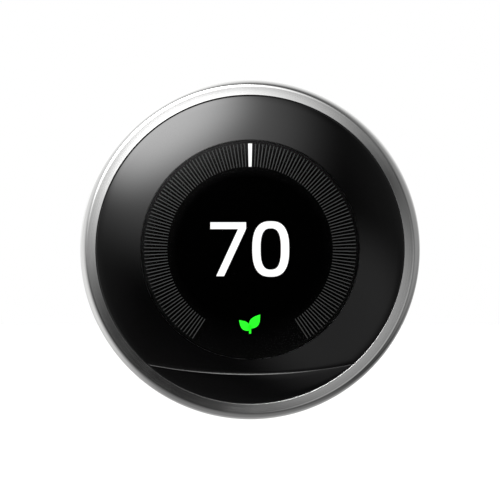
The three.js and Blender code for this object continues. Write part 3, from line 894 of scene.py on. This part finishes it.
CAD_MATERIALS = {
    "base_rear_shell": BASE_WHITE,
    "base_front_cover": BASE_WHITE,
    "base_circuit_board": GREEN_BOARD,
    "base_connector": SOCKET_BLACK,
    "base_screw": ZINC,
    "terminal_block": BLOCK_GREY,
    "terminal_tab": TAB_PALE,
    "tab_spring": SPRING_METAL,
    "level_vial": VIAL_CLEAR,
    "level_cradle": BLOCK_GREY,
    "humidity_sensor": SENSOR,
    "head_rear_cap": HEAD_DARK,
    "head_connector": SOCKET_BLACK,
    "connector_board": BLACK_BOARD,
    "usb_port": TIN,
    "battery": FOIL,
    "press_spring": SPRING_METAL,
    "connector_flex": FLEX,
    "display_flex": FLEX,
    "front_frame": FRAME_DARK,
    "spring_screw": ZINC,
    "main_board": BLACK_BOARD,
    "processor_shield": TIN,
    "radio_shield": TIN,
    "buzzer": CHIP,
    "ring_sensor": CHIP,
    "tact_switch": TIN,
    "switch_plunger": ACETAL,
    "display_tray": TIN,
    "backlight_panel": OPAL,
    "display_panel": SCREEN_BLACK,
    "lens_carrier": FRAME_DARK,
    "lens_gasket": FOAM,
    "front_lens": LENS_BLACK,
    "sensor_window": WINDOW_BLACK,
    "motion_sensor_lens": OPAL,
    "motion_sensor": TIN,
    "proximity_sensor": CHIP,
    "light_sensor": CHIP,
    "glide_ring": ACETAL,
    "control_ring": RING_STEEL,
    "encoder_band": OPAL,
}

for node_name, node in frame["nodes"].items():
    matching = [key for key in CAD_MATERIALS if (node_name + "_").startswith(key + "_")]
    chosen = CAD_MATERIALS[max(matching, key=len)]
    for material_slot in node.material_slots:
        material_slot.material = chosen

# Visible mouldings keep their CAD shape and get rounded edges: their body, and the width of
# the rounding in millimetres.
TAB_ROWS = range(1, 6)
SOFTENED = {
    "base_rear_shell": ("base", 0.25),
    "base_front_cover": ("base", 0.2),
    "base_connector": ("base", 0.12),
    "terminal_block_left": ("base", 0.15),
    "terminal_block_right": ("base", 0.15),
    "head_rear_cap": ("head", 0.2),
    "head_connector": ("head", 0.15),
    "usb_port": ("head", 0.12),
}
for side in ("left", "right"):
    for number in TAB_ROWS:
        SOFTENED[f"terminal_tab_{side}_{number}"] = (f"tab_{side}_{number}", 0.18)

WELD = 0.002 * MM  # corners closer than this are one
FLAT_UP_TO = 0.4  # degrees between two faces that are joined into one
ROUND_FROM = 32  # degrees between two faces whose edge gets rounded


def slot_of(node_name):
    """The material slot that the CAD record gives a node."""
    for entry in frame["record"]["subparts"]:
        if entry["node"] == node_name:
            return entry["material_slot"]
    return node_name


def welded(node_name):
    """A CAD node's mesh to work on."""
    bm = bmesh.new()
    bm.from_mesh(frame["nodes"][node_name].data)
    bmesh.ops.remove_doubles(bm, verts=bm.verts, dist=WELD)
    return bm


def finish_copy(bm, name, node_name):
    """Links a mesh made from a CAD node, in that node's material."""
    material = CAD_MATERIALS[slot_of(node_name)]
    return finish_mesh(name, mesh_from(bm, name), [material], COPY_SMOOTH_UP_TO)


def rounded_copy(node_name, width):
    """A copy of a CAD node with its sharp edges rounded."""
    bm = welded(node_name)
    flat = math.radians(FLAT_UP_TO)
    bmesh.ops.dissolve_limit(bm, angle_limit=flat, verts=bm.verts, edges=bm.edges)

    def is_sharp(edge):
        return len(edge.link_faces) == 2 and edge.calc_face_angle() > math.radians(ROUND_FROM)

    bmesh.ops.bevel(
        bm,
        geom=[edge for edge in bm.edges if is_sharp(edge)],
        offset=width * MM,
        offset_type="OFFSET",
        segments=2,
        profile=0.5,
        affect="EDGES",
        clamp_overlap=True,
    )
    return finish_copy(bm, node_name + "_rounded", node_name)


for node_name, (body, width) in SOFTENED.items():
    attach(rounded_copy(node_name, width), body, slot_of(node_name), node_name)

# ------------------------------------------------------------------ flex and springs, cut into pieces


def bend(piece, node_name):
    """Bakes the place of the piece, made from that CAD node, into its mesh, and hides the node."""
    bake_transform(piece)
    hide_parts(node_name)


def build_flex():
    """The connector's flex, which runs between the head and the front, as a copy with rounded
    edges.
    """
    flex = rounded_copy("connector_flex", 0.02)
    bend(flex, "connector_flex")


def bisect(bm, point, normal, **options):
    """Cuts a mesh along a plane, and gives the edges that the cut made."""
    geometry = bm.verts[:] + bm.edges[:] + bm.faces[:]
    cut = bmesh.ops.bisect_plane(bm, geom=geometry, plane_co=point, plane_no=normal, **options)
    return [item for item in cut["geom_cut"] if isinstance(item, bmesh.types.BMEdge)]


def part_of(node_name, name, planes, slices=()):
    """The part of a CAD node behind all the planes, closed there, and divided at the slices."""
    bm = welded(node_name)
    for point, outward in planes:
        rim = bisect(bm, point, outward, clear_outer=True)
        if rim:
            bmesh.ops.holes_fill(bm, edges=rim)
    for point, along in slices:
        bisect(bm, point, along)
    bmesh.ops.recalc_face_normals(bm, faces=bm.faces)
    return finish_copy(bm, name, node_name)


def leaf_spring(node_name, name, planes, start, end, steps=8):
    """An arm of a spring, cut out of a CAD node and sliced across from start to end."""
    slices = [(start.lerp(end, i / steps), end - start) for i in range(1, steps + 1)]
    arm = part_of(node_name, name, planes, slices)
    bend(arm, node_name)


ARM_ANGLES = (30, 150, 210, 330)  # degrees anticlockwise from the right, where the screws are
ARM_ROOT = 7.4  # distances from the middle between which an arm is sliced across
ARM_BENT = 9.4
ARM_SECTOR = 30  # degrees to either side of an arm that hold no other arm
FINGER_ROOT = 23.1  # distance from the middle at which a finger leaves its spine
FINGER_BEND = 2.6  # length of the finger that is sliced across
FINGER_MARGIN = 0.2  # how far inside its tab's edges a finger is cut free


def about_y(degrees, vector):
    return Matrix.Rotation(math.radians(degrees), 3, "Y") @ vector


def build_press_spring():
    """A hub that stays with the head, and four arms cut apart from it."""
    hub_planes = []
    for number, angle in enumerate(ARM_ANGLES, 1):
        outward = about_y(-angle, Vector((1, 0, 0)))
        root, bent = outward * ARM_ROOT * MM, outward * ARM_BENT * MM
        planes = [(root, -outward)]
        for turn in (90 + ARM_SECTOR, -90 - ARM_SECTOR):
            planes.append((Vector(), about_y(turn, outward)))
        name = f"press_spring_arm_{number}"
        leaf_spring("press_spring", name, planes, root, bent)
        hub_planes.append((root, outward))
    hub = part_of("press_spring", "press_spring_hub", hub_planes)
    attach(hub, "head", slot_of("press_spring"), "press_spring")


def build_tab_spring(side, outward):
    """A spine that stays in the terminal block, and a finger under each release tab."""
    node_name = "tab_spring_" + side
    root = FINGER_ROOT * MM * outward
    bent = root - FINGER_BEND * MM * outward
    margin = FINGER_MARGIN * MM
    across, up = Vector((outward, 0, 0)), Vector((0, 0, 1))
    for number in TAB_ROWS:
        low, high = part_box(f"terminal_tab_{side}_{number}")
        planes = [
            (Vector((root, 0, 0)), across),
            (Vector((0, 0, high[2] - margin)), up),
            (Vector((0, 0, low[2] + margin)), -up),
        ]
        level = low[2] / 2 + high[2] / 2
        start, end = Vector((root, 0, level)), Vector((bent, 0, level))
        name, tab = f"{node_name}_finger_{number}", f"tab_{side}_{number}"
        leaf_spring(node_name, name, planes, start, end)
    spine = part_of(node_name, node_name + "_spine", [(Vector((root, 0, 0)), -across)])
    attach(spine, "base", slot_of(node_name), node_name)


build_flex()
build_press_spring()
build_tab_spring("left", -1)
build_tab_spring("right", 1)

# ------------------------------------------------------------------ studio

FLOOR_HEIGHT = -0.12  # in metres, as is the next
FLOOR_HALF = 2.5


def toward(off_straight, clock):
    """A direction: degrees off straight out of the face, and anticlockwise from the right."""
    off, clock = math.radians(off_straight), math.radians(clock)
    sideways = math.sin(off)
    return Vector((sideways * math.cos(clock), -math.cos(off), sideways * math.sin(clock)))


# What polished surfaces mirror, as soft lights in the sky: direction, size of the even middle
# and of the whole in degrees, how fast the edge fades, and brightness.
MIRRORED_LIGHTS = [
    (toward(30.7, 122.8), 2, 24.4, 3.5, 9.4),  # key light, above and to the left
    (toward(25.3, 117), 4.5, 34.4, 3.5, 2.1),  # the glow round it
    (toward(17.5, 323), 6, 19.2, 2.2, 0.42),  # faint fill, below and to the right
    (toward(66, 15), 10, 60, 1.4, 0.33),  # right side
    (toward(91, 164.6), 5, 80, 1.0, 0.91),  # left side
    (toward(86.6, 249), 4.5, 88, 1.4, 0.26),  # below
    (toward(124, 88), 2, 92, 1.8, 0.98),  # above and behind
    (toward(169, 320), 27.6, 88, 0.87, 0.37),  # the wall behind
]
MIRRORED_BASE = 0.008

# What lights matt surfaces: a pale studio dome, brightest overhead, in front and to the left.
DOME_MIDDLE = 0.86
DOME_SLOPE = Vector((-0.10, -0.12, 0.42))


def dot(tree, first, second):
    inputs = {0: first, 1: second}
    return add_node(tree, "ShaderNodeVectorMath", inputs, operation="DOT_PRODUCT").outputs["Value"]


def soft_light(tree, direction, centre, inner, outer, power, brightness):
    """A round light in the sky, even within the inner angle and gone at the outer one."""
    cosine = dot(tree, direction, centre)
    inputs = {
        "Value": cosine,
        "From Min": math.cos(math.radians(outer)),
        "From Max": math.cos(math.radians(inner)),
        "To Min": 0.0,
        "To Max": 1.0,
    }
    fade = add_node(tree, "ShaderNodeMapRange", inputs, interpolation_type="SMOOTHSTEP")
    faded = maths(tree, "POWER", fade.outputs["Result"], power)
    return maths(tree, "MULTIPLY", faded, brightness)


def build_sky():
    """White to the camera, the dome to matt surfaces, and the soft lights to polished ones."""
    world = bpy.data.worlds.new("studio")
    bpy.context.scene.world = world
    world.use_nodes = True
    tree = world.node_tree
    tree.nodes.clear()
    direction = add_node(tree, "ShaderNodeTexCoord").outputs["Generated"]
    mirrored = MIRRORED_BASE
    for light in MIRRORED_LIGHTS:
        mirrored = maths(tree, "ADD", soft_light(tree, direction, *light), mirrored)
    dome_light = maths(tree, "ADD", dot(tree, direction, DOME_SLOPE), DOME_MIDDLE)
    seen = add_node(tree, "ShaderNodeLightPath").outputs
    inputs = {0: seen["Is Diffuse Ray"], 2: mirrored, 3: dome_light}
    level = add_node(tree, "ShaderNodeMix", inputs).outputs[0]
    inputs = {0: seen["Is Camera Ray"], 2: level, 3: 1.0}
    level = add_node(tree, "ShaderNodeMix", inputs).outputs[0]
    grey = add_node(tree, "ShaderNodeCombineColor", {0: level, 1: level, 2: level}).outputs[0]
    sky = add_node(tree, "ShaderNodeBackground", {"Color": grey, "Strength": 1.0}).outputs[0]
    output = add_node(tree, "ShaderNodeOutputWorld")
    tree.links.new(sky, output.inputs["Surface"])


def build_floor():
    mesh = bpy.data.meshes.new("studio_floor")
    half = FLOOR_HALF
    corners = [(-half, -half, 0), (half, -half, 0), (half, half, 0), (-half, half, 0)]
    mesh.from_pydata(corners, [], [(0, 1, 2, 3)])
    material, tree, shader = new_material("floor_pale", (0.86, 0.86, 0.86), 0.8)
    mottle = noise(tree, place(tree), 30, 3)
    tint = blend_colours(tree, mottle, (0.85, 0.85, 0.85), (0.87, 0.87, 0.87))
    tree.links.new(tint, shader.inputs["Base Color"])
    mesh.materials.append(material)
    floor = bpy.data.objects.new("studio_floor", mesh)
    floor.location = (0, 0, FLOOR_HEIGHT)
    floor.visible_glossy = False
    bpy.context.scene.collection.objects.link(floor)


VIEW_WIDTH = 123.7  # of the plane of the ring's shoulder
SHOULDER_PLANE = 25.7  # distance of that plane from the wall
CAMERA_SHIFT = (-0.02, -0.12)  # sideways and up, off the middle of the face


def build_camera():
    """Straight in front of the face."""
    data = bpy.data.cameras.new("camera")
    data.lens = 135
    data.sensor_width = 36
    distance = VIEW_WIDTH * data.lens / data.sensor_width
    camera = bpy.data.objects.new("camera", data)
    sideways, up = CAMERA_SHIFT
    camera.location = Vector((sideways, -SHOULDER_PLANE - distance, up)) * MM
    camera.rotation_euler = (math.radians(90), 0, 0)
    data.clip_start = 0.01
    data.clip_end = 20
    bpy.context.scene.collection.objects.link(camera)
    bpy.context.scene.camera = camera


build_sky()
build_floor()
build_camera()
bpy.context.scene.view_settings.view_transform = "Standard"
